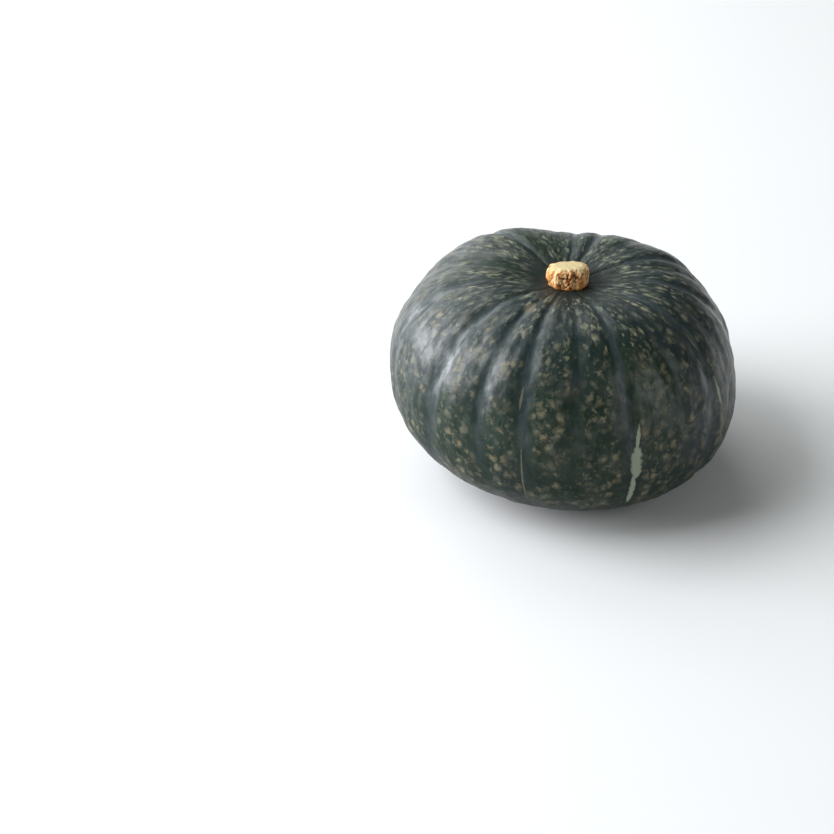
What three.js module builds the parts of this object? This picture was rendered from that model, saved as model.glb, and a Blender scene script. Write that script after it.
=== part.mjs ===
// Pumpkin: a squat, furrowed winter squash of the kabocha kind, as it rests on a table.
// It has a green fruit, a corky cut stem in its top hollow and a corky scar in its bottom hollow.
// Millimetres, +Z up, front towards -Y. The origin is the middle of the bottom, on the table.
// Polar angles run from the stem down to the blossom end, azimuths from the front towards +X.

import * as THREE from "three";

// Fruit: two superellipse halves that meet at the equator
const FRUIT_RADIUS = 93.9;
const UPPER_HEIGHT = 72.8;
const UPPER_SQUARENESS = 2.47;
const LOWER_HEIGHT = 55;
const LOWER_SQUARENESS = 2.24;

// Hollows at the two ends of the growing axis, with their spreads in degrees of polar angle
const STEM_HOLLOW_DEPTH = 14;
const STEM_HOLLOW_SPREAD = 25;
const BLOSSOM_HOLLOW_DEPTH = 8;
const BLOSSOM_HOLLOW_SPREAD = 17;

// Furrows between the lobes, by azimuth in degrees
const FURROW_AZIMUTHS = [19, 54, 87, 115, 156, 172, 212, 282, 309, 330, 343];
const FAINT_FURROW_AZIMUTHS = [0, 38, 71, 101, 138, 184, 230, 255];
const FAINT_SHARE = 0.45;
const FURROW_DEPTH = 2;
const FURROW_SPREAD = 3.2;

// Each furrow starts near the stem and fades below the equator. On its way it sways a few degrees,
// and no two are alike: each one's depth and sway follow a phase of its own
const FURROW_RUN_OUT = 1;
const FURROW_FADE = 1.1;
const FURROW_VARIETY = 0.2;
const FURROW_SWAY = 1.6;
const FURROW_SWAY_TURNS = 2.2;
const FURROW_PHASE_TURNS = 7;

// Uneven shoulders: places where the fruit stands proud of its round form or sinks below it
const SHOULDER_POLAR = 40;
const SHOULDER_POLAR_SPREAD = 28;
const SHOULDERS = [
  { rise: -2.8, azimuth: 176, spread: 17 },
  { rise: 1.4, azimuth: 207, spread: 14 },
  { rise: 1.4, azimuth: 124, spread: 13 },
  { rise: 1.1, azimuth: 226, spread: 11 },
  { rise: -2.0, azimuth: 250, spread: 12 },
  { rise: 1.2, azimuth: 276, spread: 16 },
  { rise: 1.0, azimuth: 300, spread: 14 },
];

// Growing axis: how far it leans and bows at half the fruit's height, and how far the fruit tips
const HALF_HEIGHT = 65;
const LEAN = -5.5;
const BOW = 4.2;
const TIP_DEGREES = 1.6;
const TIP_INNER_RADIUS = 35;
const TIP_OUTER_RADIUS = 75;

// Flat spot that the fruit rests on, below the equator
const BASE_DEPTH = 50;

// Stem: a squat, rather square barrel with corky ridges and a slanting cut face that is highest at
// one azimuth, set a hair's breadth above the hollow's floor
const STEM_RADIUS = 11.2;
const STEM_HEIGHT = 9.9;
const STEM_WAIST_HEIGHT = 4;
const STEM_SQUARENESS = 4.4;
const STEM_FOOT_ANGLE = 130;
const STEM_TOP_SLOPE = 0.3;
const STEM_TOP_AZIMUTH = 15;
const STEM_RIDGES = 11;
const STEM_RIDGE_SHARE = 0.04;
const STEM_CORNERS = 4;
const STEM_CORNER_SHARE = 0.045;
const STEM_BULGES = 3;
const STEM_BULGE_SHARE = 0.02;
const STEM_SIDE_SHARE = 0.75;
const SEAT_GAP = 0.3;

// Blossom scar: a thin corky button with a pit in its middle
const SCAR_RADIUS = 7.5;
const SCAR_THICKNESS = 1.3;
const SCAR_PIT_SHARE = 0.45;
const SCAR_PIT_SPREAD = 2.2;
const SCAR_CREASES = 5;
const SCAR_CREASE_SHARE = 0.06;

// Finishes: a waxy dark green rind and dry cork
const RIND = { color: 0x2d382f, roughness: 0.5, metalness: 0 };
const STEM_CORK = { color: 0xc9a574, roughness: 0.9, metalness: 0 };
const SCAR_CORK = { color: 0x9c8a68, roughness: 0.9, metalness: 0 };

// Fineness of the three surfaces, as meridians and rings
const FRUIT_GRID = [120, 38];
const STEM_GRID = [66, 16];
const SCAR_GRID = [30, 8];

const { degToRad, radToDeg, euclideanModulo, smoothstep } = THREE.MathUtils;
const POLAR_STEP = 1e-3;

// Bell curve: 1 in the middle, falling to 1/e at one spread away
function bell(offset, spread) {
  return Math.exp(-((offset / spread) ** 2));
}

// Bell curve round the axis, both azimuths in degrees
function bellRound(azimuth, middle, spread) {
  return bell(euclideanModulo(azimuth - middle + 180, 360) - 180, spread);
}

// Furrow across the rind: a bell curve round an azimuth that sways on the way down
function furrowBell(polar, azimuth, middle) {
  const phase = degToRad(FURROW_PHASE_TURNS * middle);
  const sway = FURROW_SWAY * Math.sin(FURROW_SWAY_TURNS * polar + phase);
  const variety = 1 + FURROW_VARIETY * Math.cos(phase);
  return variety * bellRound(azimuth, middle + sway, FURROW_SPREAD);
}

// Reach of a unit superellipse along a direction
function superellipseReach(across, along, squareness) {
  return (Math.abs(across) ** squareness + Math.abs(along) ** squareness) ** (-1 / squareness);
}

// Smooth form of the fruit: radius and height at a polar angle, without furrows or shoulders
function fruitProfile(polar) {
  const above = polar < Math.PI / 2;
  const squareness = above ? UPPER_SQUARENESS : LOWER_SQUARENESS;
  const height = above ? UPPER_HEIGHT : LOWER_HEIGHT;
  const across = Math.sin(polar);
  const along = Math.cos(polar);
  const reach = superellipseReach(across, along, squareness);
  const fromStem = radToDeg(polar);
  const stemHollow = STEM_HOLLOW_DEPTH * bell(fromStem, STEM_HOLLOW_SPREAD);
  const blossomHollow = BLOSSOM_HOLLOW_DEPTH * bell(180 - fromStem, BLOSSOM_HOLLOW_SPREAD);
  return new THREE.Vector2(
    FRUIT_RADIUS * reach * across,
    height * reach * along - stemHollow + blossomHollow,
  );
}

// Outward direction of the smooth form in its meridian plane
function fruitOutward(polar) {
  const before = fruitProfile(Math.max(polar - POLAR_STEP, 0));
  const after = fruitProfile(Math.min(polar + POLAR_STEP, Math.PI));
  const along = after.sub(before).normalize();
  return new THREE.Vector2(-along.y, along.x);
}

// Relief of the rind: how far it stands out from the smooth form
function fruitRelief(polar, azimuth) {
  const around = radToDeg(azimuth);
  let furrows = 0;
  for (const middle of FURROW_AZIMUTHS) {
    furrows += furrowBell(polar, around, middle);
  }
  for (const middle of FAINT_FURROW_AZIMUTHS) {
    furrows += FAINT_SHARE * furrowBell(polar, around, middle);
  }
  const runOut = Math.sin(polar) ** FURROW_RUN_OUT;
  const furrowDepth = FURROW_DEPTH * runOut * Math.cos(polar / 2) ** (2 * FURROW_FADE);

  let shoulders = 0;
  for (const { rise, azimuth: middle, spread } of SHOULDERS) {
    shoulders += rise * bellRound(around, middle, spread);
  }
  const shoulderFade = Math.sin(polar) / Math.sin(degToRad(SHOULDER_POLAR));
  const shoulderBell = bell(radToDeg(polar) - SHOULDER_POLAR, SHOULDER_POLAR_SPREAD);
  return shoulders * shoulderFade * shoulderBell - furrowDepth * furrows;
}

// Stands a point of the upright form as the fruit lies: leant, bowed, tipped and flat underneath
function stand(radius, azimuth, z) {
  const height = z / HALF_HEIGHT;
  const x = radius * Math.sin(azimuth) + LEAN * height + BOW * height ** 2;
  const y = -radius * Math.cos(azimuth);
  const tipped = z > 0 ? 1 : smoothstep(radius, TIP_INNER_RADIUS, TIP_OUTER_RADIUS);
  const tip = degToRad(TIP_DEGREES) * tipped;
  return new THREE.Vector3(x + z * tip, y, Math.max(z - x * tip, -BASE_DEPTH));
}

// Point of the rind
function fruitPoint(share, azimuth) {
  const polar = Math.PI * share;
  const relief = fruitRelief(polar, azimuth);
  const point = fruitProfile(polar).addScaledVector(fruitOutward(polar), relief);
  return stand(point.x, azimuth, point.y);
}

// Height of the smooth form at a radius, on its upper or its lower half
function fruitHeight(radius, above) {
  const squareness = above ? UPPER_SQUARENESS : LOWER_SQUARENESS;
  const slope = ((FRUIT_RADIUS / Math.max(radius, POLAR_STEP)) ** squareness - 1) ** (-1 / squareness);
  const fromPole = Math.atan(slope);
  return fruitProfile(above ? fromPole : Math.PI - fromPole).y;
}

// Radius of the stem at an angle down from its top: a barrel with rounded corners and ridges up its side
function stemRadius(angle, azimuth) {
  const across = Math.sin(angle);
  const barrel = STEM_RADIUS * superellipseReach(across, Math.cos(angle), STEM_SQUARENESS) * across;
  const ridges = STEM_RIDGE_SHARE * Math.cos(STEM_RIDGES * azimuth);
  const corners = STEM_CORNER_SHARE * Math.cos(STEM_CORNERS * azimuth);
  const bulges = STEM_BULGE_SHARE * Math.sin(STEM_BULGES * azimuth);
  return barrel * (1 + (ridges - corners + bulges) * across);
}

// Height of the stem at an angle down from its top, as a share: 1 at the top, -1 at the foot
function stemRise(angle) {
  const level = (at) => superellipseReach(Math.sin(at), Math.cos(at), STEM_SQUARENESS) * Math.cos(at);
  return angle < Math.PI / 2 ? level(angle) : -level(angle) / level(degToRad(STEM_FOOT_ANGLE));
}

// Point of the stem: down its barrel to the foot, then inwards over the hollow's floor
function stemPoint(share, azimuth) {
  const footAngle = degToRad(STEM_FOOT_ANGLE);
  if (share >= STEM_SIDE_SHARE) {
    const inward = (1 - share) / (1 - STEM_SIDE_SHARE);
    const radius = stemRadius(footAngle, azimuth) * inward;
    return stand(radius, azimuth, fruitHeight(radius, true) + SEAT_GAP);
  }
  const angle = (footAngle * share) / STEM_SIDE_SHARE;
  const radius = stemRadius(angle, azimuth);
  const rise = stemRise(angle);
  const towardsHigh = radius * Math.cos(azimuth - degToRad(STEM_TOP_AZIMUTH));
  const slope = STEM_TOP_SLOPE * towardsHigh * Math.max(rise, 0);
  const reach = rise > 0 ? STEM_HEIGHT - STEM_WAIST_HEIGHT : STEM_WAIST_HEIGHT;
  const waist = fruitHeight(STEM_RADIUS, true) + SEAT_GAP + STEM_WAIST_HEIGHT;
  return stand(radius, azimuth, waist + reach * rise + slope);
}

// Point of the scar: outwards over the hollow's roof to the rim, then back over its lower face
function scarPoint(share, azimuth) {
  const side = 2 * share - 1;
  const reach = 1 - Math.abs(side);
  const crease = 1 + SCAR_CREASE_SHARE * reach * Math.cos(SCAR_CREASES * azimuth);
  const radius = SCAR_RADIUS * reach * crease;
  const roof = fruitHeight(radius, false) - SEAT_GAP;
  const pit = 1 - SCAR_PIT_SHARE * bell(radius, SCAR_PIT_SPREAD);
  const thickness = side > 0 ? SCAR_THICKNESS * Math.sqrt(1 - reach ** 2) * pit : 0;
  return stand(radius, azimuth, roof - thickness);
}

// Closed surface: a sphere's grid with each vertex moved to pointAt(share, azimuth),
// where the share runs from 0 at the top pole to 1 at the bottom pole
function closedSurface(pointAt, [meridians, rings]) {
  const geometry = new THREE.SphereGeometry(1, meridians, rings);
  const position = geometry.getAttribute("position");
  const grid = geometry.getAttribute("uv");
  for (let i = 0; i < position.count; i++) {
    const point = pointAt(1 - grid.getY(i), 2 * Math.PI * grid.getX(i));
    position.setXYZ(i, point.x, point.y, point.z);
  }
  geometry.computeVertexNormals();
  return geometry;
}

// Named mesh with its own plain finish
function piece(name, geometry, finish) {
  const mesh = new THREE.Mesh(geometry, new THREE.MeshStandardMaterial(finish));
  mesh.name = name;
  return mesh;
}

const fruit = piece("fruit", closedSurface(fruitPoint, FRUIT_GRID), RIND);
const stem = piece("stem", closedSurface(stemPoint, STEM_GRID), STEM_CORK);
const blossomScar = piece("blossom_scar", closedSurface(scarPoint, SCAR_GRID), SCAR_CORK);

const pumpkin = new THREE.Group();
pumpkin.add(fruit, stem, blossomScar);
const middle = new THREE.Box3().setFromObject(fruit).getCenter(new THREE.Vector3());
pumpkin.position.set(-middle.x, -middle.y, BASE_DEPTH);

export default pumpkin;
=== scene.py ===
"""Looks of a kabocha pumpkin: its speckled waxy rind, its corky cut stem and its blossom scar.

Lengths are millimetres, as in the solids, until a mesh is filled in metres. Polar angles run from the stem
down to the blossom end, and azimuths from the front (-Y) towards +X.
"""

import logging
import math
from dataclasses import astuple, dataclass, field
from enum import Enum
from functools import reduce

import bpy
import numpy as np
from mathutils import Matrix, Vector


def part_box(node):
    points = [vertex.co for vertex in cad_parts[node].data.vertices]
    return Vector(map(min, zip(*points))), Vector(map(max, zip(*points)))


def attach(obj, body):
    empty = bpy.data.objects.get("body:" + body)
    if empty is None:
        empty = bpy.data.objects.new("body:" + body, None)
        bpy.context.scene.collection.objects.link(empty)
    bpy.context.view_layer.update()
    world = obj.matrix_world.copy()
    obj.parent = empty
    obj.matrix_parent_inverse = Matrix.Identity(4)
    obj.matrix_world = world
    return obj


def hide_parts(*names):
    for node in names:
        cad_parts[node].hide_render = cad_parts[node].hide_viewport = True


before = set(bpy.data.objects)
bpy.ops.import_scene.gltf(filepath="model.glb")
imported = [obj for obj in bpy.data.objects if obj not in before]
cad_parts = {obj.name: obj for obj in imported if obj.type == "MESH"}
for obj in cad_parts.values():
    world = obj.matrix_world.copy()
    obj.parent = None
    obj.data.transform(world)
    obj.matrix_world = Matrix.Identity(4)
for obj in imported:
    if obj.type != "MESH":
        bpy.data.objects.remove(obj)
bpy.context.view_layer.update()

MM = 0.001
NOISE_MIDDLE = 0.5
NUMBER = "NodeSocketFloat"
VECTOR = "NodeSocketVector"

# Socket numbers of the mix node: its share and its two colours, and its colour as a result
MIX_INPUTS = (0, 6, 7)
MIX_RESULT = 2

MARK_INPUTS = ("Mark Azimuth", "Mark Polar", "Half Width", "Half Length", "Lean", "Bluntness")
LOG = logging.getLogger("pumpkin")

Array = np.ndarray
Colour = tuple[float, float, float]
Pair = tuple[float, float]
Material = bpy.types.Material
Piece = bpy.types.Object
Socket = bpy.types.NodeSocket
Tree = bpy.types.NodeTree


class Slot(Enum):
    """The record's material slots."""

    RIND = "rind"
    STEM_CORK = "stem_cork"
    SCAR_CORK = "scar_cork"


class MarkTone(Enum):
    """Kinds of healed marks on the rind, each with its colour."""

    PALE = (0.240, 0.265, 0.200)
    STRAW = (0.100, 0.104, 0.070)
    ORANGE = (0.105, 0.089, 0.061)
    DARK = (0.012, 0.008, 0.008)


def bell(offset: Array, spread: Array | float) -> Array:
    """Bell curve: 1 in the middle, falling to 1/e at one spread away."""
    return np.exp(-((offset / spread) ** 2))


def smoothstep(value: Array, low: float, high: float) -> Array:
    """Smooth rise from 0 at the low value to 1 at the high value."""
    share = np.clip((value - low) / (high - low), 0.0, 1.0)
    return share * share * (3.0 - 2.0 * share)


def turn_from(azimuth: Array, middle: Array | float) -> Array:
    """Shortest turn in degrees from a middle azimuth in degrees to azimuths in radians."""
    return (np.degrees(azimuth) - middle + 180.0) % 360.0 - 180.0


def superellipse_reach(across: Array, along: Array, squareness: Array | float) -> Array:
    """Reach of a unit superellipse along the direction (across, along)."""
    return (np.abs(across) ** squareness + np.abs(along) ** squareness) ** (-1.0 / squareness)


def waves(place: Array, lengths: Pair, count: int, seed: int) -> Array:
    """Sum of seeded cosine waves in random directions, a smooth uneven field of about unit size.

    Args:
        place: points, with their three coordinates last.
        lengths: shortest and longest wavelength, in the points' own unit.
        count: number of waves.
        seed: seed of the random draw.

    Returns:
        The field's value at each point.
    """
    draw = np.random.default_rng(seed)
    directions = draw.normal(size=(count, 3))
    directions /= np.linalg.norm(directions, axis=1, keepdims=True)
    wavelengths = np.exp(draw.uniform(np.log(lengths[0]), np.log(lengths[1]), count))
    phases = draw.uniform(0.0, 2.0 * np.pi, count)
    angles = place @ (directions * (2.0 * np.pi / wavelengths)[:, None]).T + phases
    return np.cos(angles).sum(axis=-1) * math.sqrt(2.0 / count)


def grid(rings: int, meridians: int) -> tuple[Array, Array]:
    """Shares down from the top pole and azimuths round it, for a closed surface's grid.

    Args:
        rings: number of steps from pole to pole.
        meridians: number of steps round.

    Returns:
        Two arrays of (rings + 1) rows and meridians columns.
    """
    shares = np.linspace(0.0, 1.0, rings + 1)
    azimuths = np.arange(meridians) * 2.0 * np.pi / meridians
    share, azimuth = np.meshgrid(shares, azimuths, indexing="ij")
    return share, azimuth


def closed_rows(values: Array) -> Array:
    """The vertices of a closed grid: one for each pole and the rows between them."""
    between = values[1:-1].reshape(-1, *values.shape[2:])
    return np.concatenate([values[:1, 0], between, values[-1:, 0]])


def new_object(name: str, data: bpy.types.ID) -> Piece:
    """Adds an object to the scene.

    Args:
        name: the object's name.
        data: its mesh, light or camera.

    Returns:
        The new object, at the origin.
    """
    piece = bpy.data.objects.new(name, data)
    bpy.context.scene.collection.objects.link(piece)
    return piece


def closed_surface(name: str, points: Array, attributes: dict[str, Array]) -> Piece:
    """Closed mesh over a grid of points whose first and last rows are poles.

    Quads join neighbouring rows and columns, the last column joins the first, and triangles close the poles.

    Args:
        name: the piece's name.
        points: grid in millimetres, rows from the top pole down, columns counter-clockwise from above.
        attributes: values kept on the vertices, as grids of numbers or of vectors.

    Returns:
        The new object, at the origin.
    """
    rows, columns = points.shape[0] - 2, points.shape[1]
    vertices = closed_rows(points) * MM
    index = np.arange(rows * columns).reshape(rows, columns) + 1
    beside = np.roll(index, -1, axis=1)
    quads = np.stack([index[:-1], index[1:], beside[1:], beside[:-1]], axis=-1).reshape(-1, 4)
    top = np.stack([np.zeros(columns, int), index[0], beside[0]], axis=-1)
    last = len(vertices) - 1
    bottom = np.stack([np.full(columns, last), beside[-1], index[-1]], axis=-1)
    mesh = bpy.data.meshes.new(name)
    mesh.from_pydata(vertices.tolist(), [], quads.tolist() + top.tolist() + bottom.tolist())
    mesh.polygons.foreach_set("use_smooth", np.ones(len(mesh.polygons), bool))
    for label, values in attributes.items():
        kind, key = ("FLOAT_VECTOR", "vector") if values.ndim == 3 else ("FLOAT", "value")
        layer = mesh.attributes.new(label, kind, "POINT")
        layer.data.foreach_set(key, closed_rows(values).astype(np.float32).ravel())
    mesh.update()
    return new_object(name, mesh)


@dataclass(frozen=True)
class FruitForm:
    """The fruit's form: two superellipse halves with hollows, furrows and uneven shoulders."""

    radius: float = 93.9
    upper_height: float = 72.8
    upper_squareness: float = 2.47
    lower_height: float = 55.0
    lower_squareness: float = 2.24
    stem_hollow: Pair = (14.0, 25.0)
    blossom_hollow: Pair = (8.0, 17.0)
    furrow_azimuths: tuple[float, ...] = (19, 54, 87, 115, 156, 172, 212, 282, 309, 330, 343)
    faint_azimuths: tuple[float, ...] = (0, 38, 71, 101, 138, 184, 230, 255)
    faint_share: float = 0.45
    furrow_depth: float = 2.0
    furrow_spread: float = 3.2
    furrow_run_out: float = 1.0
    furrow_fade: float = 1.1
    furrow_variety: float = 0.2
    furrow_sway: float = 1.6
    furrow_sway_turns: float = 2.2
    furrow_phase_turns: float = 7.0
    shoulder_polar: Pair = (40.0, 28.0)
    shoulders: tuple[tuple[float, float, float], ...] = (
        (-2.8, 176.0, 17.0),
        (1.4, 207.0, 14.0),
        (1.4, 124.0, 13.0),
        (1.1, 226.0, 11.0),
        (-2.0, 250.0, 12.0),
        (1.2, 276.0, 16.0),
        (1.0, 300.0, 14.0),
    )
    half_height: float = 65.0
    lean: float = -5.5
    bow: float = 4.2
    tip_degrees: float = 1.6
    tip_radii: Pair = (35.0, 75.0)
    base_depth: float = 50.0
    base_edge: float = 0.5
    polar_step: float = 1e-3
    shift_grid: tuple[int, int] = (90, 240)

    def profile(self, polar: Array) -> tuple[Array, Array]:
        """Smooth form in its meridian plane: superellipse halves, less a bell-shaped hollow at each end.

        Args:
            polar: polar angles in radians.

        Returns:
            Radii and heights above the equator.
        """
        across, along = np.sin(polar), np.cos(polar)
        above = along > 0.0
        squareness = np.where(above, self.upper_squareness, self.lower_squareness)
        height = np.where(above, self.upper_height, self.lower_height)
        reach = superellipse_reach(across, along, squareness)
        from_stem = np.degrees(polar)
        stem_hollow = self.stem_hollow[0] * bell(from_stem, self.stem_hollow[1])
        blossom_hollow = self.blossom_hollow[0] * bell(180.0 - from_stem, self.blossom_hollow[1])
        return self.radius * reach * across, height * reach * along - stem_hollow + blossom_hollow

    def outward(self, polar: Array) -> tuple[Array, Array]:
        """Outward direction of the smooth form in its meridian plane, square to a small step along it.

        Args:
            polar: polar angles in radians.

        Returns:
            Radius and height parts of the direction.
        """
        before = self.profile(np.maximum(polar - self.polar_step, 0.0))
        after = self.profile(np.minimum(polar + self.polar_step, np.pi))
        radial, rise = after[0] - before[0], after[1] - before[1]
        length = np.hypot(radial, rise)
        return -rise / length, radial / length

    def furrow_bell(self, polar: Array, azimuth: Array, middle: float) -> Array:
        """One furrow: a bell curve round an azimuth that sways on the way down, with a depth of its own.

        Args:
            polar: polar angles in radians.
            azimuth: azimuths in radians.
            middle: the furrow's own azimuth in degrees.

        Returns:
            The furrow's share of the full depth.
        """
        phase = math.radians(self.furrow_phase_turns * middle)
        sway = self.furrow_sway * np.sin(self.furrow_sway_turns * polar + phase)
        variety = 1.0 + self.furrow_variety * math.cos(phase)
        return variety * bell(turn_from(azimuth, middle + sway), self.furrow_spread)

    def furrows(self, polar: Array, azimuth: Array) -> Array:
        """Sum of all furrows, the faint ones at their share.

        Args:
            polar: polar angles in radians.
            azimuth: azimuths in radians.

        Returns:
            The furrows' share of the full depth.
        """
        strong = sum(self.furrow_bell(polar, azimuth, at) for at in self.furrow_azimuths)
        faint = sum(self.furrow_bell(polar, azimuth, at) for at in self.faint_azimuths)
        return strong + self.faint_share * faint

    def relief(self, polar: Array, azimuth: Array) -> Array:
        """How far the rind stands out from the smooth form: shoulders less furrows.

        Args:
            polar: polar angles in radians.
            azimuth: azimuths in radians.

        Returns:
            Distances in the outward direction.
        """
        run_out = np.abs(np.sin(polar)) ** self.furrow_run_out
        fade = np.abs(np.cos(polar / 2.0)) ** (2.0 * self.furrow_fade)
        depth = self.furrow_depth * run_out * fade
        rises = sum(rise * bell(turn_from(azimuth, at), spread) for rise, at, spread in self.shoulders)
        middle, spread = self.shoulder_polar
        shoulder = np.sin(polar) / math.sin(math.radians(middle)) * bell(np.degrees(polar) - middle, spread)
        return rises * shoulder - depth * self.furrows(polar, azimuth)

    def flatten(self, z: Array) -> Array:
        """Stops heights at the flat spot, over a parabola within the soft edge above and below it.

        Args:
            z: heights above the equator.

        Returns:
            The heights, none below the flat spot.
        """
        above = z + self.base_depth
        edge = self.base_edge
        eased = np.where(above > edge, above, np.maximum(above + edge, 0.0) ** 2 / (4.0 * edge))
        return eased - self.base_depth

    def stand(self, radius: Array, azimuth: Array, z: Array) -> Array:
        """Stands points of the upright form as the fruit lies: leant, bowed, tipped and flat underneath.

        Args:
            radius: distances from the axis.
            azimuth: azimuths in radians.
            z: heights above the equator.

        Returns:
            Points, with their three coordinates last.
        """
        height = z / self.half_height
        x = radius * np.sin(azimuth) + self.lean * height + self.bow * height**2
        y = -radius * np.cos(azimuth)
        tipped = np.where(z > 0.0, 1.0, smoothstep(radius, *self.tip_radii))
        tip = math.radians(self.tip_degrees) * tipped
        return np.stack([x + z * tip, y, self.flatten(z - x * tip)], axis=-1)

    def height_at(self, radius: Array, above: bool) -> Array:
        """Height of the smooth form at a radius, on its upper or its lower half.

        Args:
            radius: distances from the axis.
            above: whether the upper half is meant.

        Returns:
            Heights above the equator.
        """
        squareness = self.upper_squareness if above else self.lower_squareness
        ratio = self.radius / np.maximum(radius, self.polar_step)
        from_pole = np.arctan((ratio**squareness - 1.0) ** (-1.0 / squareness))
        return self.profile(from_pole if above else np.pi - from_pole)[1]

    def shift(self) -> Array:
        """Finds the move that brings the form's middle over the solid's and its flat spot onto the floor.

        Returns:
            The move, by its three coordinates.
        """
        share, azimuth = grid(*self.shift_grid)
        radius, z = self.profile(np.pi * share)
        out_radius, out_z = self.outward(np.pi * share)
        relief = self.relief(np.pi * share, azimuth)
        points = self.stand(radius + relief * out_radius, azimuth, z + relief * out_z)
        middle = (points.min(axis=(0, 1)) + points.max(axis=(0, 1))) / 2.0
        low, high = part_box("fruit")
        solid = (np.array(low) + np.array(high)) / 2.0 / MM
        return np.array([solid[0] - middle[0], solid[1] - middle[1], self.base_depth])


@dataclass(frozen=True)
class Ramp:
    """A smooth change from a start at a low value to an end at a high value."""

    low: float
    high: float
    start: float = 0.0
    end: float = 1.0


@dataclass(frozen=True)
class Cloud:
    """A cloudy noise: its scale per metre, its number of finer layers and their weight."""

    per_metre: float
    detail: float = 2.0
    roughness: float = 0.5


class Graph:
    """Short ways to add and join the nodes of one shader node tree."""

    def __init__(self, tree: Tree) -> None:
        """Keeps the tree that nodes are added to."""
        self.tree = tree

    def put(self, socket: Socket, value: Socket | float | tuple) -> None:
        """Joins a socket to another, or sets its value.

        Args:
            socket: an input.
            value: an output to join it to, or a number, a vector or a colour.
        """
        if isinstance(value, Socket):
            self.tree.links.new(value, socket)
        elif isinstance(value, tuple) and socket.type == "RGBA":
            socket.default_value = (*value, 1.0)
        else:
            socket.default_value = value

    def node(self, kind: str, inputs: dict | None = None, **settings: object) -> bpy.types.Node:
        """Adds a node.

        Args:
            kind: the node's type, without the leading ShaderNode.
            inputs: values or sockets, by the names or numbers of the node's inputs.
            settings: the node's own properties.

        Returns:
            The new node.
        """
        node = self.tree.nodes.new(f"ShaderNode{kind}")
        for name, value in settings.items():
            setattr(node, name, value)
        for name, value in (inputs or {}).items():
            self.put(node.inputs[name], value)
        return node

    def group(self, tree: Tree, inputs: dict) -> dict[str, Socket]:
        """Places a node group with its inputs, and gives its outputs by name."""
        node = self.node("Group", inputs, node_tree=tree)
        return {socket.name: socket for socket in node.outputs}

    def attribute(self, name: str, output: str = "Fac") -> Socket:
        """Adds a value kept on the mesh, and gives it as a number or by another output."""
        return self.node("Attribute", attribute_name=name).outputs[output]

    def math(self, operation: str, first: Socket | float, second: Socket | float = 0.0) -> Socket:
        """Adds an operation on one or two numbers, such as a product, and gives its result."""
        return self.node("Math", {0: first, 1: second}, operation=operation).outputs[0]

    def product(self, first: Socket, *others: Socket | float) -> Socket:
        """Adds the product of two or more numbers, and gives it."""
        return reduce(lambda one, other: self.math("MULTIPLY", one, other), others, first)

    def step(self, value: Socket, ramp: Ramp) -> Socket:
        """Adds a ramp over a value, and gives its result."""
        ends = {"From Min": ramp.low, "From Max": ramp.high, "To Min": ramp.start, "To Max": ramp.end}
        return self.node("MapRange", {"Value": value, **ends}, interpolation_type="SMOOTHSTEP").outputs[0]

    def drawn(self, place: Socket, share: float) -> Socket:
        """Adds a place whose way down counts at a share, so that patterns are drawn out, and gives it."""
        return self.node("Mapping", {"Vector": place, "Scale": (1.0, 1.0, share)}).outputs[0]

    def noise(self, place: Socket, cloud: Cloud, output: str = "Fac") -> Socket:
        """Adds a cloudy noise over a place, and gives it as a number or by another output."""
        sizes = {"Scale": cloud.per_metre, "Detail": cloud.detail, "Roughness": cloud.roughness}
        return self.node("TexNoise", {"Vector": place, **sizes}).outputs[output]

    def uneven(self, place: Socket, cloud: Cloud, size: float) -> Socket:
        """Adds a noise that runs to both sides of zero, of about half its size each way, and gives it."""
        centred = self.math("SUBTRACT", self.noise(place, cloud), NOISE_MIDDLE)
        return self.product(centred, size)

    def mottle(self, place: Socket, cloud: Cloud, ramp: Ramp) -> Socket:
        """Adds a noise with a ramp over it, and gives the result."""
        return self.step(self.noise(place, cloud), ramp)

    def blend(self, share: Socket | float, first: Socket | Colour, second: Socket | Colour) -> Socket:
        """Adds a blend from a first colour to a second, and gives the colour."""
        inputs = dict(zip(MIX_INPUTS, (share, first, second)))
        return self.node("Mix", inputs, data_type="RGBA").outputs[MIX_RESULT]

    def bump(self, height: Socket, strength: float, depth: float) -> Socket:
        """Adds a bump from a height that stands for a depth in millimetres, and gives the normal."""
        inputs = {"Strength": strength, "Distance": depth * MM, "Height": height}
        return self.node("Bump", inputs).outputs["Normal"]


def new_group(name: str, inputs: dict[str, str], outputs: dict[str, str]) -> tuple[Graph, dict[str, Socket]]:
    """Starts a shader node group.

    Args:
        name: the group's name.
        inputs: socket types, by the names of its inputs.
        outputs: socket types, by the names of its outputs.

    Returns:
        A graph for its tree, and the sockets inside it: what its inputs give and what its outputs take.
    """
    tree = bpy.data.node_groups.new(name, "ShaderNodeTree")
    for label, kind in inputs.items():
        tree.interface.new_socket(label, in_out="INPUT", socket_type=kind)
    for label, kind in outputs.items():
        tree.interface.new_socket(label, in_out="OUTPUT", socket_type=kind)
    given = tree.nodes.new("NodeGroupInput")
    taken = tree.nodes.new("NodeGroupOutput")
    sockets = {label: given.outputs[label] for label in inputs}
    sockets.update({label: taken.inputs[label] for label in outputs})
    return Graph(tree), sockets


def new_material(name: str, specular: float) -> tuple[Material, Graph, bpy.types.Node]:
    """Starts a material.

    Args:
        name: the material's name.
        specular: its specular level.

    Returns:
        The material, a graph for its tree and its Principled shader.
    """
    material = bpy.data.materials.new(name)
    material.use_nodes = True
    shader = material.node_tree.nodes["Principled BSDF"]
    shader.inputs["Specular IOR Level"].default_value = specular
    return material, Graph(material.node_tree), shader


@dataclass(frozen=True)
class Grains:
    """The node groups of fine grain that more than one material uses."""

    pores: Tree
    cork: Tree


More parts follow.
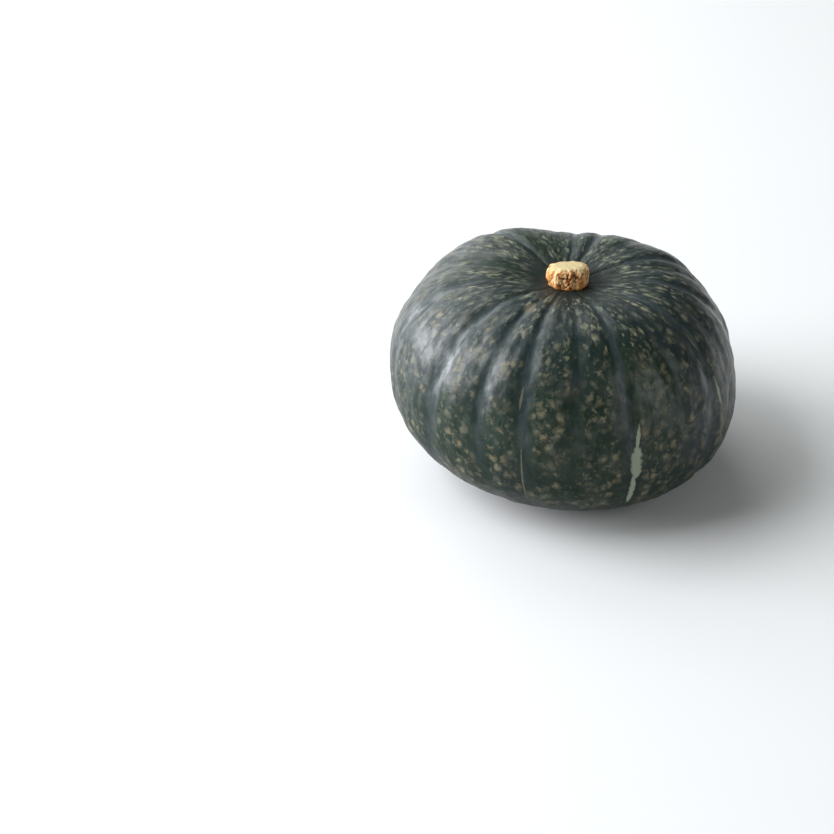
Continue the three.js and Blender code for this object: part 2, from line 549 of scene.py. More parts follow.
@dataclass(frozen=True)
class RindMark:
    """A healed mark on the rind: a lens with a rough edge, its place and half sizes in degrees."""

    tone: MarkTone
    azimuth: float
    polar: float
    half_width: float
    half_length: float
    lean: float = 0.0
    bluntness: float = 2.0


@dataclass(frozen=True)
class SpeckleLayer:
    """A layer of speckles: their number per metre, the share of places that has one, and their weight."""

    per_metre: float
    share: float
    weight: float


@dataclass(frozen=True)
class RindFinish:
    """Waxy dark green rind with pale speckles on its lobes and a few healed marks."""

    green: Colour = (0.0058, 0.0185, 0.0100)
    slate: Colour = (0.0100, 0.0195, 0.0200)
    patches: Cloud = Cloud(16.0, 3.0)
    patch_ramp: Ramp = Ramp(0.34, 0.58)
    olive: Colour = (0.0420, 0.0440, 0.0290)
    olive_patches: Cloud = Cloud(62.0, 2.0)
    olive_ramp: Ramp = Ramp(0.52, 0.74, 0.0, 0.34)
    furrow: Colour = (0.0155, 0.0280, 0.0290)
    furrow_waver: Cloud = Cloud(110.0, 3.0, 0.6)
    furrow_waver_size: float = 0.9
    furrow_ramp: Ramp = Ramp(0.42, 0.86)
    furrow_bare: Ramp = Ramp(0.16, 0.52, 1.0, 0.15)
    bare_waver: float = 0.5
    # Pale grey-blue tone near the stem: partly the rind's own wax bloom, partly a painted sheen of the light
    # from behind.
    bloom_and_sheen: Colour = (0.0180, 0.0240, 0.0225)
    bloom_and_sheen_polar: Ramp = Ramp(9.0, 22.0, 0.7, 0.0)
    bloom_and_sheen_waver: float = 8.0
    collar: Colour = (0.0240, 0.0235, 0.0175)
    collar_polar: Ramp = Ramp(6.0, 9.0, 0.7, 0.0)
    collar_waver: float = 3.0

    speckle_top: Colour = (0.198, 0.208, 0.144)
    speckle_middle: Colour = (0.180, 0.168, 0.114)
    speckle_low: Colour = (0.178, 0.164, 0.112)
    speckle_warm: Colour = (0.198, 0.168, 0.086)
    warm_patches: Cloud = Cloud(130.0, 2.0)
    warm_ramp: Ramp = Ramp(0.44, 0.62, 0.0, 0.7)
    speckle_high_polar: Ramp = Ramp(22.0, 52.0)
    speckle_low_polar: Ramp = Ramp(55.0, 112.0)
    layers: tuple[SpeckleLayer, ...] = (
        SpeckleLayer(180.0, 0.72, 1.0),
        SpeckleLayer(265.0, 0.48, 0.85),
        SpeckleLayer(430.0, 0.40, 0.5),
    )
    speckle_by_polar: Ramp = Ramp(25.0, 55.0, 1.6, 1.0)
    speckle_start: Ramp = Ramp(10.0, 18.0)
    speckle_reach: Ramp = Ramp(0.0, 0.58, 1.0, 0.0)
    speckle_size: Ramp = Ramp(0.0, 1.0, 0.75, 1.20)
    speckle_tone: Ramp = Ramp(0.0, 1.0, 0.40, 1.0)
    speckle_drift: Cloud = Cloud(290.0)
    speckle_drift_size: float = 0.0052
    clusters: Cloud = Cloud(48.0, 1.0)
    cluster_ramp: Ramp = Ramp(0.34, 0.56, 0.42, 1.1)
    grain: Cloud = Cloud(800.0, 2.0, 0.6)
    grain_ramp: Ramp = Ramp(0.32, 0.62, 0.70, 1.0)

    marks: tuple[RindMark, ...] = (
        RindMark(MarkTone.PALE, 21.1, 76.0, 0.75, 6.5, -0.10),
        RindMark(MarkTone.PALE, 20.4, 88.0, 1.9, 9.0, -0.04, 4.0),
        RindMark(MarkTone.PALE, 19.2, 106.0, 1.1, 13.0, -0.03, 4.0),
        RindMark(MarkTone.PALE, 59.2, 74.0, 0.8, 9.0, 0.10),
        RindMark(MarkTone.STRAW, 60.0, 88.0, 1.4, 12.0, 0.06),
        RindMark(MarkTone.STRAW, 56.3, 50.0, 0.4, 6.0, 0.05),
        RindMark(MarkTone.STRAW, -16.3, 97.0, 0.32, 18.0, 0.01, 4.0),
        RindMark(MarkTone.STRAW, -18.0, 61.0, 0.5, 5.0),
        RindMark(MarkTone.ORANGE, 94.0, 48.0, 2.2, 1.8),
        RindMark(MarkTone.ORANGE, -31.5, 25.0, 3.4, 4.4),
        RindMark(MarkTone.DARK, 15.6, 60.0, 2.0, 0.8),
    )
    mark_edge: Ramp = Ramp(-0.05, 0.40)
    mark_waver: Cloud = Cloud(420.0, 3.0, 0.6)
    mark_roughening: float = 1.2

    specular: float = 0.14
    roughness: Ramp = Ramp(0.0, 1.0, 0.42, 0.60)
    coat_roughness: float = 0.39
    coat: Ramp = Ramp(0.0, 1.0, 0.66, 1.0)
    coat_on_marks: Ramp = Ramp(0.1, 0.9, 1.0, 0.45)
    coat_by_polar: Ramp = Ramp(60.0, 104.0, 1.0, 0.1)
    coat_near_stem: Ramp = Ramp(9.0, 24.0, 0.12, 1.0)
    sheen: Cloud = Cloud(210.0, 3.0, 0.6)
    sheen_draw: float = 0.4
    sheen_ramp: Ramp = Ramp(0.38, 0.60, 0.36, 1.2)
    speckle_rise: float = 0.45
    mark_sink: float = 0.5
    bump_strength: float = 0.6
    bump_depth: float = 0.3

    def mark_group(self) -> Tree:
        """Node group for one mark: a lens |across| < 1 - |along|**bluntness in its half sizes, roughened.

        Returns:
            The group's tree, which gives a mask.
        """
        inputs = ("Azimuth", "Polar", "Roughening", *MARK_INPUTS)
        kinds = dict.fromkeys(inputs, NUMBER)
        graph, sockets = new_group("rind_mark", kinds, {"Mask": NUMBER})
        down = graph.math("SUBTRACT", sockets["Polar"], sockets["Mark Polar"])
        middle = graph.math("ADD", sockets["Mark Azimuth"], graph.product(down, sockets["Lean"]))
        aside = graph.math("SUBTRACT", sockets["Azimuth"], middle)
        across = graph.math("ABSOLUTE", graph.math("DIVIDE", aside, sockets["Half Width"]))
        share = graph.math("ABSOLUTE", graph.math("DIVIDE", down, sockets["Half Length"]))
        along = graph.math("POWER", share, sockets["Bluntness"])
        inside = graph.math("SUBTRACT", graph.math("SUBTRACT", 1.0, along), across)
        rough = graph.math("ADD", inside, sockets["Roughening"])
        graph.put(sockets["Mask"], graph.step(rough, self.mark_edge))
        return graph.tree

    def marked(self, graph: Graph, colour: Socket, places: dict[str, Socket]) -> tuple[Socket, Socket]:
        """Lays the marks over a colour.

        Args:
            graph: the material's graph.
            colour: the rind's colour without marks.
            places: azimuth, polar angle and the roughening of the marks' edges, by the group's input names.

        Returns:
            The colour with marks, and the mask of the pale ones.
        """
        group = self.mark_group()
        pale = None
        for mark in self.marks:
            sizes = dict(zip(MARK_INPUTS, astuple(mark)[1:]))
            mask = graph.group(group, {**places, **sizes})["Mask"]
            colour = graph.blend(mask, colour, mark.tone.value)
            if mark.tone is MarkTone.PALE:
                pale = mask if pale is None else graph.math("MAXIMUM", pale, mask)
        return colour, pale

    def speckle_group(self) -> Tree:
        """Node group for a layer of speckles: soft spots round a share of some scattered points.

        Returns:
            The group's tree, which gives a mask.
        """
        inputs = {"Place": VECTOR, "Per Metre": NUMBER, "Share": NUMBER}
        graph, sockets = new_group("speckle_layer", inputs, {"Mask": NUMBER})
        cells = graph.node("TexVoronoi", {"Vector": sockets["Place"], "Scale": sockets["Per Metre"]})
        draw = graph.node("SeparateColor", {0: cells.outputs["Color"]}).outputs
        kept = graph.math("LESS_THAN", draw["Red"], sockets["Share"])
        size = graph.step(draw["Green"], self.speckle_size)
        spots = graph.step(graph.math("DIVIDE", cells.outputs["Distance"], size), self.speckle_reach)
        tone = graph.step(draw["Blue"], self.speckle_tone)
        graph.put(sockets["Mask"], graph.product(spots, kept, tone))
        return graph.tree

    def speckles(self, graph: Graph, growth: Socket) -> Socket:
        """Speckles of all layers, with wavering outlines, in clusters and broken up by a fine grain.

        Args:
            graph: the material's graph.
            growth: place on the grown skin.

        Returns:
            The speckles' mask.
        """
        drift = graph.noise(growth, self.speckle_drift, "Color")
        middle = (NOISE_MIDDLE, NOISE_MIDDLE, NOISE_MIDDLE)
        centred = graph.node("VectorMath", {0: drift, 1: middle}, operation="SUBTRACT").outputs[0]
        drift_size = {0: centred, "Scale": self.speckle_drift_size}
        sway = graph.node("VectorMath", drift_size, operation="SCALE").outputs[0]
        place = graph.node("VectorMath", {0: growth, 1: sway}, operation="ADD").outputs[0]
        group = self.speckle_group()
        spread = None
        for layer in self.layers:
            values = {"Place": place, "Per Metre": layer.per_metre, "Share": layer.share}
            mask = graph.product(graph.group(group, values)["Mask"], layer.weight)
            spread = mask if spread is None else graph.math("MAXIMUM", spread, mask)
        clusters = graph.mottle(growth, self.clusters, self.cluster_ramp)
        return graph.product(spread, clusters, graph.mottle(growth, self.grain, self.grain_ramp))

    def material(self, grains: Grains) -> Material:
        """Builds the rind's material.

        Args:
            grains: the shared groups of fine grain.

        Returns:
            The material.
        """
        material, graph, shader = new_material("rind", self.specular)
        growth = graph.attribute("growth", "Vector")
        furrow = graph.attribute("furrow")
        polar = graph.attribute("polar")
        waver = graph.uneven(growth, self.furrow_waver, self.furrow_waver_size)
        valley = graph.step(graph.math("ADD", furrow, waver), self.furrow_ramp)
        beside = graph.math("ADD", furrow, graph.product(waver, self.bare_waver))
        amount = graph.product(
            self.speckles(graph, growth),
            graph.step(beside, self.furrow_bare),
            graph.step(polar, self.speckle_by_polar),
            graph.step(polar, self.speckle_start),
        )
        speckles = graph.math("MINIMUM", amount, 1.0)

        low = graph.step(polar, self.speckle_low_polar)
        high = graph.step(polar, self.speckle_high_polar)
        below = graph.blend(low, self.speckle_middle, self.speckle_low)
        warm = graph.mottle(growth, self.warm_patches, self.warm_ramp)
        below = graph.blend(warm, below, self.speckle_warm)
        speckle = graph.blend(high, self.speckle_top, below)
        lobe = graph.blend(graph.mottle(growth, self.patches, self.patch_ramp), self.green, self.slate)
        lobe = graph.blend(graph.mottle(growth, self.olive_patches, self.olive_ramp), lobe, self.olive)
        skin = graph.blend(valley, lobe, self.furrow)
        # Painted sheen near the stem, mixed with the pale wax bloom, fading out on the way down the fruit.
        near_stem = graph.math("ADD", polar, graph.product(waver, self.bloom_and_sheen_waver))
        skin = graph.blend(graph.step(near_stem, self.bloom_and_sheen_polar), skin, self.bloom_and_sheen)
        colour = graph.blend(speckles, skin, speckle)

        parts = graph.node("SeparateXYZ", {0: growth}).outputs
        azimuth = graph.math("DEGREES", graph.math("ARCTAN2", parts["Y"], parts["X"]))
        edge = graph.uneven(growth, self.mark_waver, self.mark_roughening)
        colour, pale = self.marked(graph, colour, {"Azimuth": azimuth, "Polar": polar, "Roughening": edge})
        at_collar = graph.math("ADD", polar, graph.product(edge, self.collar_waver))
        colour = graph.blend(graph.step(at_collar, self.collar_polar), colour, self.collar)
        graph.put(shader.inputs["Base Color"], colour)

        dull = graph.math("MAXIMUM", speckles, pale)
        graph.put(shader.inputs["Roughness"], graph.step(dull, self.roughness))
        wax = graph.product(
            graph.step(valley, self.coat),
            graph.step(dull, self.coat_on_marks),
            graph.mottle(graph.drawn(growth, self.sheen_draw), self.sheen, self.sheen_ramp),
            graph.step(polar, self.coat_near_stem),
            graph.step(polar, self.coat_by_polar),
        )
        graph.put(shader.inputs["Coat Weight"], wax)
        shader.inputs["Coat Roughness"].default_value = self.coat_roughness

        raised = graph.product(speckles, self.speckle_rise)
        sunk = graph.product(pale, self.mark_sink)
        pits = graph.group(grains.pores, {"Place": growth})["Height"]
        height = graph.math("ADD", graph.math("SUBTRACT", raised, sunk), pits)
        graph.put(shader.inputs["Normal"], graph.bump(height, self.bump_strength, self.bump_depth))
        return material


@dataclass(frozen=True)
class PoreGrain:
    """Fine pores of skin and cork: small round pits and a low grain."""

    per_metre: float = 700.0
    pit_reach: Ramp = Ramp(0.05, 0.35, 0.0, 0.35)
    grain: Cloud = Cloud(450.0, 3.0, 0.6)

    def group(self) -> Tree:
        """Node group of the pores: pits and grain added up.

        Returns:
            The group's tree, which gives a height of about 0 to 1.
        """
        graph, sockets = new_group("fine_pores", {"Place": VECTOR}, {"Height": NUMBER})
        cells = graph.node("TexVoronoi", {"Vector": sockets["Place"], "Scale": self.per_metre})
        pits = graph.step(cells.outputs["Distance"], self.pit_reach)
        grain = graph.noise(sockets["Place"], self.grain)
        graph.put(sockets["Height"], graph.math("ADD", pits, grain))
        return graph.tree


@dataclass(frozen=True)
class CorkGrain:
    """Long grain of dry cork, drawn out along its growth."""

    draw: float = 0.16
    fibres: Cloud = Cloud(620.0, 3.0, 0.55)
    fibre_ramp: Ramp = Ramp(0.42, 0.58)
    fibre_height: float = 0.8
    lumps: Cloud = Cloud(700.0, 3.0, 0.6)

    def group(self) -> Tree:
        """Node group of the grain: drawn-out fibres, with lumps among them.

        Returns:
            The group's tree, which gives a mask of streaks and a rough height.
        """
        outputs = {"Streaks": NUMBER, "Height": NUMBER}
        graph, sockets = new_group("dry_cork", {"Place": VECTOR}, outputs)
        fibres = graph.noise(graph.drawn(sockets["Place"], self.draw), self.fibres)
        lumps = graph.noise(sockets["Place"], self.lumps)
        graph.put(sockets["Streaks"], graph.step(fibres, self.fibre_ramp))
        graph.put(sockets["Height"], graph.math("ADD", graph.product(fibres, self.fibre_height), lumps))
        return graph.tree


@dataclass(frozen=True)
class CorkFinish:
    """Dry cork: a pale face, sides streaked in two tans, a darker foot and dark fissures."""

    slot: Slot
    face: Colour
    side_light: Colour
    side_deep: Colour
    foot: Colour
    fissure: Colour
    specular: float = 0.25
    face_pits: Ramp = Ramp(0.45, 0.80, 0.34, 0.0)
    foot_ramp: Ramp = Ramp(0.0, 1.0, 0.0, 0.8)
    fissure_ramp: Ramp = Ramp(0.25, 0.9)
    roughness: Ramp = Ramp(0.0, 1.0, 0.82, 0.72)
    pit_height: float = 0.3
    bump_strength: float = 0.6
    bump_depth: float = 0.3

    def material(self, grains: Grains) -> Material:
        """Builds the cork's material.

        Args:
            grains: the shared groups of fine grain.

        Returns:
            The material.
        """
        material, graph, shader = new_material(self.slot.value, self.specular)
        growth = graph.attribute("growth", "Vector")
        crown = graph.attribute("crown")
        cracks = graph.attribute("cracks")
        low = graph.attribute("low")
        grain = graph.group(grains.cork, {"Place": growth})
        pits = graph.group(grains.pores, {"Place": growth})["Height"]
        side = graph.blend(grain["Streaks"], self.side_deep, self.side_light)
        side = graph.blend(graph.step(low, self.foot_ramp), side, self.foot)
        face = graph.blend(graph.step(pits, self.face_pits), self.face, self.side_light)
        body = graph.blend(crown, side, face)
        colour = graph.blend(graph.step(cracks, self.fissure_ramp), body, self.fissure)
        graph.put(shader.inputs["Base Color"], colour)
        graph.put(shader.inputs["Roughness"], graph.step(crown, self.roughness))
        height = graph.math("ADD", grain["Height"], graph.product(pits, self.pit_height))
        graph.put(shader.inputs["Normal"], graph.bump(height, self.bump_strength, self.bump_depth))
        return material


@dataclass
class Fruit:
    """The fruit with its rind, as a fine surface over the same form as the solid."""

    form: FruitForm
    shift: Array
    finish: RindFinish = field(default_factory=RindFinish)
    rings: int = 240
    meridians: int = 400
    lump_lengths: Pair = (9.0, 34.0)
    lump_size: float = 0.16
    grain_lengths: Pair = (4.4, 10.0)
    grain_size: float = 0.085
    wrinkle_lengths: Pair = (9.0, 30.0)
    wrinkle_size: float = 0.14
    wrinkle_draw: float = 0.12
    wrinkle_polar: Pair = (22.0, 18.0)
    wave_count: int = 40
    seed: int = 7
    furrow_mask_polar: Pair = (8.0, 28.0)
    furrow_fade: float = 0.5
    furrow_fade_polar: Pair = (58.0, 108.0)
    fleck_draw: float = 0.45
    fleck_polar: Pair = (12.0, 62.0)
    fleck_narrowing: float = 0.25

    def growth(self, share: Array, azimuth: Array) -> Array:
        """Place on the grown skin, in metres: round it, and the way down from the stem.

        The round narrows less than the fruit, by a power of its radius, and the way counts for less near
        the stem. So a pattern on it is round at the equator and drawn out into flecks near the stem.

        Args:
            share: shares of the way from pole to pole, by polar angle.
            azimuth: azimuths in radians.

        Returns:
            Places, with their three coordinates last.
        """
        polar = np.pi * share[:, 0]
        radius, z = self.form.profile(polar)
        draw = self.fleck_draw + (1.0 - self.fleck_draw) * smoothstep(np.degrees(polar), *self.fleck_polar)
        steps = np.hypot(np.diff(radius), np.diff(z)) * draw[1:]
        way = np.concatenate([[0.0], np.cumsum(steps)])
        narrowed = self.form.radius * (np.maximum(radius, 0.0) / self.form.radius) ** self.fleck_narrowing
        across = narrowed[:, None] * np.cos(azimuth)
        beside = narrowed[:, None] * np.sin(azimuth)
        return np.stack([across, beside, np.broadcast_to(way[:, None], share.shape)], axis=-1) * MM

    def unevenness(self, growth: Array, polar: Array, azimuth: Array) -> Array:
        """Low lumps and a fine grain all over, and wrinkles drawn out along the meridians near the stem.

        Args:
            growth: places on the grown skin.
            polar: polar angles in radians.
            azimuth: azimuths in radians.

        Returns:
            Distances in the outward direction.
        """
        place = growth / MM
        lumps = self.lump_size * waves(place, self.lump_lengths, self.wave_count, self.seed)
        grain = self.grain_size * waves(place, self.grain_lengths, self.wave_count, self.seed + 1)
        around = [self.form.radius * np.cos(azimuth), self.form.radius * np.sin(azimuth)]
        drawn = np.stack([*around, self.wrinkle_draw * place[..., 2]], axis=-1)
        wrinkles = self.wrinkle_size * waves(drawn, self.wrinkle_lengths, self.wave_count, self.seed + 2)
        middle, spread = self.wrinkle_polar
        near_stem = bell(np.degrees(polar) - middle, spread)
        return (lumps + grain + wrinkles * near_stem) * np.sin(polar)

    def build(self) -> Piece:
        """Builds the rind: the form's profile moved out by its relief and by its unevenness.

        Returns:
            The rind's object.
        """
        share, azimuth = grid(self.rings, self.meridians)
        polar = np.pi * share
        growth = self.growth(share, azimuth)
        radius, z = self.form.profile(polar)
        out_radius, out_z = self.form.outward(polar)
        relief = self.form.relief(polar, azimuth) + self.unevenness(growth, polar, azimuth)
        points = self.form.stand(radius + relief * out_radius, azimuth, z + relief * out_z) + self.shift
        furrow = np.clip(self.form.furrows(polar, azimuth), 0.0, 1.0)
        degrees = np.degrees(polar)
        furrow *= smoothstep(degrees, *self.furrow_mask_polar)
        furrow *= 1.0 - self.furrow_fade * smoothstep(degrees, *self.furrow_fade_polar)
        attributes = {"growth": growth, "furrow": furrow, "polar": degrees}
        return closed_surface("rind", points, attributes)

    def dress(self, piece: Piece, grains: Grains) -> None:
        """Gives the rind its material and its place in the frame.

        Args:
            piece: the rind's object.
            grains: the shared groups of fine grain.
        """
        piece.data.materials.append(self.finish.material(grains))
        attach(piece, "root")
        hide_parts("fruit")


@dataclass
class Stem:
    """The corky cut stem: a squat ridged barrel, fissured down its side, with a slanting cut face."""

    form: FruitForm
    shift: Array
    finish: CorkFinish = CorkFinish(
        Slot.STEM_CORK,
        face=(0.50, 0.40, 0.210),
        side_light=(0.80, 0.51, 0.250),
        side_deep=(0.50, 0.195, 0.052),
        foot=(0.58, 0.24, 0.070),
        fissure=(0.170, 0.055, 0.012),
    )
    radius: float = 11.2
    height: float = 9.9
    waist_height: float = 4.0
    squareness: float = 4.4
    foot_angle: float = 130.0
    top_slope: float = 0.3
    top_azimuth: float = 15.0
    ridges: int = 11
    ridge_share: float = 0.04
    bulges: int = 3
    bulge_share: float = 0.02
    corners: int = 4
    corner_share: float = 0.045
    side_share: float = 0.75
    sink: float = 0.4
    rings: int = 128
    meridians: int = 264
    fissure_lengths: Pair = (2.6, 7.0)
    fissure_width: float = 0.18
    fissure_depth: float = 0.6
    fissure_draw: float = 0.2
    crumble_lengths: Pair = (1.8, 4.2)
    crumble_draw: float = 0.8
    crumble_range: Pair = (-0.5, 0.6)
    crumble_depth: float = 0.8
    crumble_azimuth: Pair = (-2.0, 40.0)
    crumble_rise: Pair = (0.40, 0.50)
    crown_angle: Pair = (45.0, 53.0)
    crown_waver: float = 8.0
    low_range: Pair = (0.0, 0.9)
    rim_range: Pair = (0.84, 0.99)
    foot_range: Pair = (-1.0, -0.8)
    face_lengths: Pair = (1.6, 7.0)
    face_roughness: float = 0.10
    wave_count: int = 40
    seed: int = 23

    def barrel_radius(self, angle: Array, azimuth: Array) -> Array:
        """Radius of a superellipse barrel with ridges, corners and bulges.

        Args:
            angle: angles down from the top, in radians.
            azimuth: azimuths in radians.

        Returns:
            Distances from the axis.
        """
        across = np.sin(angle)
        barrel = self.radius * superellipse_reach(across, np.cos(angle), self.squareness) * across
        ridges = self.ridge_share * np.cos(self.ridges * azimuth)
        bulges = self.bulge_share * np.sin(self.bulges * azimuth)
        corners = self.corner_share * np.cos(self.corners * azimuth)
        return barrel * (1.0 + (ridges + bulges - corners) * across)

    def barrel_rise(self, angle: Array) -> Array:
        """Height on the same superellipse, above and below its waist.

        Args:
            angle: angles down from the top, in radians.

        Returns:
            Shares of the height: 1 at the top, -1 at the foot.
        """
        foot = math.radians(self.foot_angle)
        level = superellipse_reach(np.sin(angle), np.cos(angle), self.squareness) * np.cos(angle)
        foot_level = superellipse_reach(np.sin(foot), np.cos(foot), self.squareness) * np.cos(foot)
        return np.where(angle < np.pi / 2.0, level, -level / foot_level)

    def build(self) -> Piece:
        """Builds the stem: down its barrel to the foot, then inwards just under the hollow's floor.

        Fissures are where a drawn-out wave field crosses zero, so they are sharp and run up the side.
        Where the front has crumbled there are pits as well, at the heights of a second field.

        Returns:
            The stem's object.
        """
        share, azimuth = grid(self.rings, self.meridians)
        foot = math.radians(self.foot_angle)
        angle = foot * np.minimum(share / self.side_share, 1.0)
        inward = np.minimum((1.0 - share) / (1.0 - self.side_share), 1.0)
        outside = np.where(share > self.side_share, 0.0, 1.0)
        radius = self.barrel_radius(angle, azimuth)
        rise = self.barrel_rise(angle)
        side = (1.0 - smoothstep(rise, *self.rim_range)) * smoothstep(rise, *self.foot_range) * outside

        around = [self.radius * np.cos(azimuth), self.radius * np.sin(azimuth)]
        way = self.radius * angle
        drawn = np.stack([*around, self.fissure_draw * way], axis=-1)
        splits = waves(drawn, self.fissure_lengths, self.wave_count, self.seed)
        fissures = bell(splits, self.fissure_width) * side
        broken = np.stack([*around, self.crumble_draw * way], axis=-1)
        at_front = bell(turn_from(azimuth, self.crumble_azimuth[0]), self.crumble_azimuth[1])
        crumbled = at_front * bell(rise - self.crumble_rise[0], self.crumble_rise[1]) * side
        pits = waves(broken, self.crumble_lengths, self.wave_count, self.seed + 2)
        pits = smoothstep(pits, *self.crumble_range) * crumbled
        place = np.stack([radius * np.sin(azimuth), radius * np.cos(azimuth), way], axis=-1)
        uneven = waves(place, self.face_lengths, self.wave_count, self.seed + 1) * outside
        rough = uneven * self.face_roughness

        depth = np.maximum(self.fissure_depth * fissures, self.crumble_depth * pits)
        radius = (radius - depth + rough * side) * inward
        seat = self.form.height_at(np.full_like(radius, self.radius), True)
        top = np.maximum(rise, 0.0)
        reach = np.where(rise > 0.0, self.height - self.waist_height, self.waist_height)
        slope = self.top_slope * radius * np.cos(azimuth - math.radians(self.top_azimuth)) * top
        z = seat + self.waist_height + reach * rise + slope + rough * top * np.sin(angle)
        z = np.where(outside > 0.0, z, self.form.height_at(radius, True)) + self.sink * np.minimum(rise, 0.0)
        points = self.form.stand(radius, azimuth, z) + self.shift
        attributes = {
            "growth": np.stack([*around, way], axis=-1) * MM,
            "crown": 1.0 - smoothstep(np.degrees(angle) + self.crown_waver * uneven, *self.crown_angle),
            "cracks": np.maximum(fissures, pits),
            "low": smoothstep(-rise, *self.low_range),
        }
        return closed_surface("cut_stem", points, attributes)

    def dress(self, piece: Piece, grains: Grains) -> None:
        """Gives the stem its material and its place in the frame.

        Args:
            piece: the stem's object.
            grains: the shared groups of fine grain.
        """
        piece.data.materials.append(self.finish.material(grains))
        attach(piece, "root")
        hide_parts("stem")


@dataclass
class BlossomScar:
    """The corky button where the flower fell off, with a pit in its middle and creases from it."""

    form: FruitForm
    shift: Array
    finish: CorkFinish = CorkFinish(
        Slot.SCAR_CORK,
        face=(0.34, 0.26, 0.15),
        side_light=(0.30, 0.21, 0.12),
        side_deep=(0.20, 0.13, 0.07),
        foot=(0.20, 0.13, 0.07),
        fissure=(0.06, 0.03, 0.015),
    )
    radius: float = 7.5
    thickness: float = 1.3
    gap: float = 0.3
    pit_share: float = 0.45
    pit_spread: float = 2.2
    creases: int = 5
    crease_share: float = 0.06
    rings: int = 96
    meridians: int = 160
    roughness_lengths: Pair = (1.0, 4.0)
    roughness: float = 0.12
    crack_width: float = 0.25
    crown_reach: Pair = (0.3, 0.9)
    wave_count: int = 30
    seed: int = 41

    def build(self) -> Piece:
        """Builds the scar: outwards over the hollow's roof to the rim, then back over its rough lower face.

        Returns:
            The scar's object.
        """
        share, azimuth = grid(self.rings, self.meridians)
        reach = 1.0 - np.abs(2.0 * share - 1.0)
        radius = self.radius * reach * (1.0 + self.crease_share * reach * np.cos(self.creases * azimuth))
        roof = self.form.height_at(radius, False)
        pit = 1.0 - self.pit_share * bell(radius, self.pit_spread)
        flat = np.zeros_like(radius)
        place = np.stack([radius * np.sin(azimuth), radius * np.cos(azimuth), flat], axis=-1)
        rough = waves(place, self.roughness_lengths, self.wave_count, self.seed)
        lower = np.where(share > 0.5, 1.0, 0.0)
        bulge = (self.thickness * pit + self.roughness * rough) * np.sqrt(1.0 - reach**2)
        z = roof - lower * (self.gap + bulge)
        points = self.form.stand(radius, azimuth, z) + self.shift
        around = [self.radius * np.cos(azimuth), self.radius * np.sin(azimuth)]
        growth = np.stack([*around, radius], axis=-1) * MM
        splits = waves(place, self.roughness_lengths, self.wave_count, self.seed + 1)
        cracks = bell(splits, self.crack_width) * lower
        crown = smoothstep(reach, *self.crown_reach)
        attributes = {"growth": growth, "crown": crown, "cracks": cracks, "low": flat}
        return closed_surface("blossom_button", points, attributes)

    def dress(self, piece: Piece, grains: Grains) -> None:
        """Gives the scar its material and its place in the frame.

        Args:
            piece: the scar's object.
            grains: the shared groups of fine grain.
        """
        piece.data.materials.append(self.finish.material(grains))
        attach(piece, "root")
        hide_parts("blossom_scar")


@dataclass(frozen=True)
class SoftLight:
    """A soft rectangular light: where it stands, its size in metres and its radiance."""

    name: str
    azimuth: float
    elevation: float
    size: Pair
    radiance: float
    colour: Colour = (1.0, 1.0, 1.0)


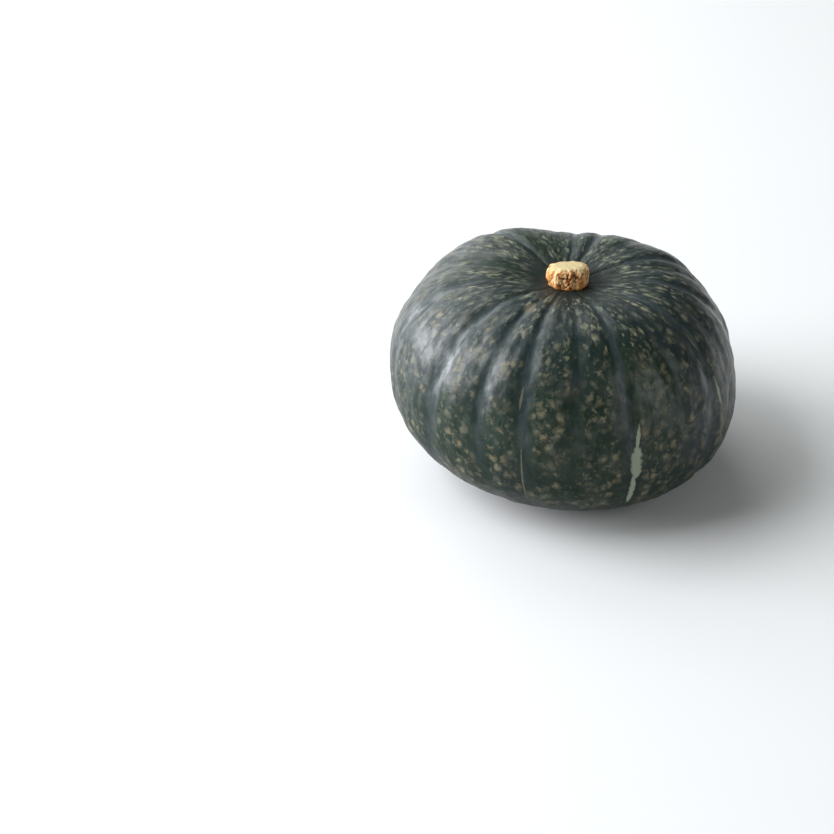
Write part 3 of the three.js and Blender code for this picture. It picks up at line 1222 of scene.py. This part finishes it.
@dataclass
class Studio:
    """Pale floor, soft lights and the camera at the photograph's viewing angle."""

    floor_radius: float = 1.9
    floor_sides: int = 128
    floor_tone: Colour = (0.72, 0.72, 0.72)
    floor_shade: Colour = (0.705, 0.705, 0.705)
    floor_cloud: Cloud = Cloud(3.0)
    floor_specular: float = 0.1
    floor_roughness: float = 0.9
    world_tone: Colour = (0.95, 1.0, 0.98)
    world_strength: Ramp = Ramp(0.0, 1.0, 0.15, 0.95)
    light_distance: float = 2.4
    lights: tuple[SoftLight, ...] = (
        SoftLight("window_left", -88.0, 36.0, (1.9, 2.2), 7.4, (0.98, 1.0, 1.03)),
        SoftLight("window_low", -104.0, 10.0, (2.8, 0.84), 8.4, (0.98, 1.0, 1.05)),
        SoftLight("soft_back", -152.0, 48.0, (1.8, 1.6), 2.2, (0.97, 1.0, 1.0)),
        SoftLight("low_back", -148.0, 17.0, (1.6, 0.8), 2.5, (0.97, 1.0, 1.0)),
        SoftLight("backdrop", -172.0, 4.0, (2.2, 0.34), 1.0, (0.97, 1.0, 1.02)),
        SoftLight("fill_right", 57.0, 24.0, (1.0, 2.0), 2.0, (0.95, 1.0, 0.98)),
    )
    image_width: float = 834.0
    focal_pixels: float = 2000.0
    sensor_width: float = 36.0
    pitch_degrees: float = 33.13
    depth: float = 1095.25
    seen_at: Pair = (562.4, 376.4)

    def floor_material(self) -> Material:
        """Builds the material of a pale matt floor, with a faint cloudiness in its tone.

        Returns:
            The material.
        """
        material, graph, shader = new_material("pale_floor", self.floor_specular)
        place = graph.node("TexCoord").outputs["Object"]
        cloud = graph.noise(place, self.floor_cloud)
        graph.put(shader.inputs["Base Color"], graph.blend(cloud, self.floor_shade, self.floor_tone))
        shader.inputs["Roughness"].default_value = self.floor_roughness
        return material

    def build_floor(self) -> None:
        """Builds the flat round floor at the pumpkin's foot."""
        turn = np.linspace(0.0, 2.0 * np.pi, self.floor_sides, endpoint=False)
        rim = self.floor_radius * np.stack([np.cos(turn), np.sin(turn), np.zeros_like(turn)], axis=1)
        mesh = bpy.data.meshes.new("floor")
        mesh.from_pydata(rim.tolist(), [], [tuple(range(self.floor_sides))])
        mesh.materials.append(self.floor_material())
        floor = new_object("floor", mesh)

    def build_lights(self, middle: Vector) -> None:
        """Builds the soft lights, aimed at the pumpkin, and an even light that is pale where it is seen.

        Args:
            middle: the middle of the pumpkin's equator, in metres.
        """
        for light in self.lights:
            azimuth, elevation = math.radians(light.azimuth), math.radians(light.elevation)
            level = math.cos(elevation)
            towards = Vector((level * math.sin(azimuth), -level * math.cos(azimuth), math.sin(elevation)))
            lamp = bpy.data.lights.new(light.name, "AREA")
            lamp.shape = "RECTANGLE"
            lamp.size, lamp.size_y = light.size
            lamp.energy = light.radiance * math.pi * light.size[0] * light.size[1]
            lamp.color = light.colour
            holder = new_object(light.name, lamp)
            holder.location = middle + towards * self.light_distance
            holder.rotation_euler = towards.to_track_quat("Z", "Y").to_euler()
        world = bpy.data.worlds.new("even_light")
        world.use_nodes = True
        background = world.node_tree.nodes["Background"]
        background.inputs["Color"].default_value = (*self.world_tone, 1.0)
        graph = Graph(world.node_tree)
        in_view = graph.node("LightPath").outputs["Is Camera Ray"]
        graph.put(background.inputs["Strength"], graph.step(in_view, self.world_strength))
        bpy.context.scene.world = world
        bpy.context.scene.view_settings.view_transform = "Standard"

    def build_camera(self, middle: Vector) -> None:
        """Builds the camera so that the equator's middle falls at its pixel in the photograph.

        Args:
            middle: the middle of the pumpkin's equator, in metres.
        """
        pitch = math.radians(self.pitch_degrees)
        ahead = Vector((0.0, math.cos(pitch), -math.sin(pitch)))
        upward = Vector((0.0, math.sin(pitch), math.cos(pitch)))
        scale = self.depth * MM / self.focal_pixels
        aside = (self.seen_at[0] - self.image_width / 2.0) * scale
        above = (self.image_width / 2.0 - self.seen_at[1]) * scale
        lens = bpy.data.cameras.new("camera")
        lens.sensor_width = self.sensor_width
        lens.lens = self.sensor_width * self.focal_pixels / self.image_width
        camera = new_object("camera", lens)
        camera.location = middle - ahead * self.depth * MM - Vector((aside, 0.0, 0.0)) - upward * above
        camera.rotation_euler = (math.pi / 2.0 - pitch, 0.0, 0.0)
        bpy.context.scene.camera = camera


def main() -> None:
    """Builds the studio and the pumpkin's pieces in order."""
    logging.basicConfig(level=logging.INFO, format="%(name)s: %(message)s")
    form = FruitForm()
    shift = form.shift()
    middle = Vector(shift * MM)
    studio = Studio()
    studio.build_camera(middle)
    studio.build_lights(middle)
    studio.build_floor()
    LOG.info("studio ready")

    grains = Grains(PoreGrain().group(), CorkGrain().group())
    for part in (Fruit(form, shift), Stem(form, shift), BlossomScar(form, shift)):
        piece = part.build()
        part.dress(piece, grains)
        LOG.info("%s of %d faces", piece.name, len(piece.data.polygons))


if __name__ == "__main__":
    main()
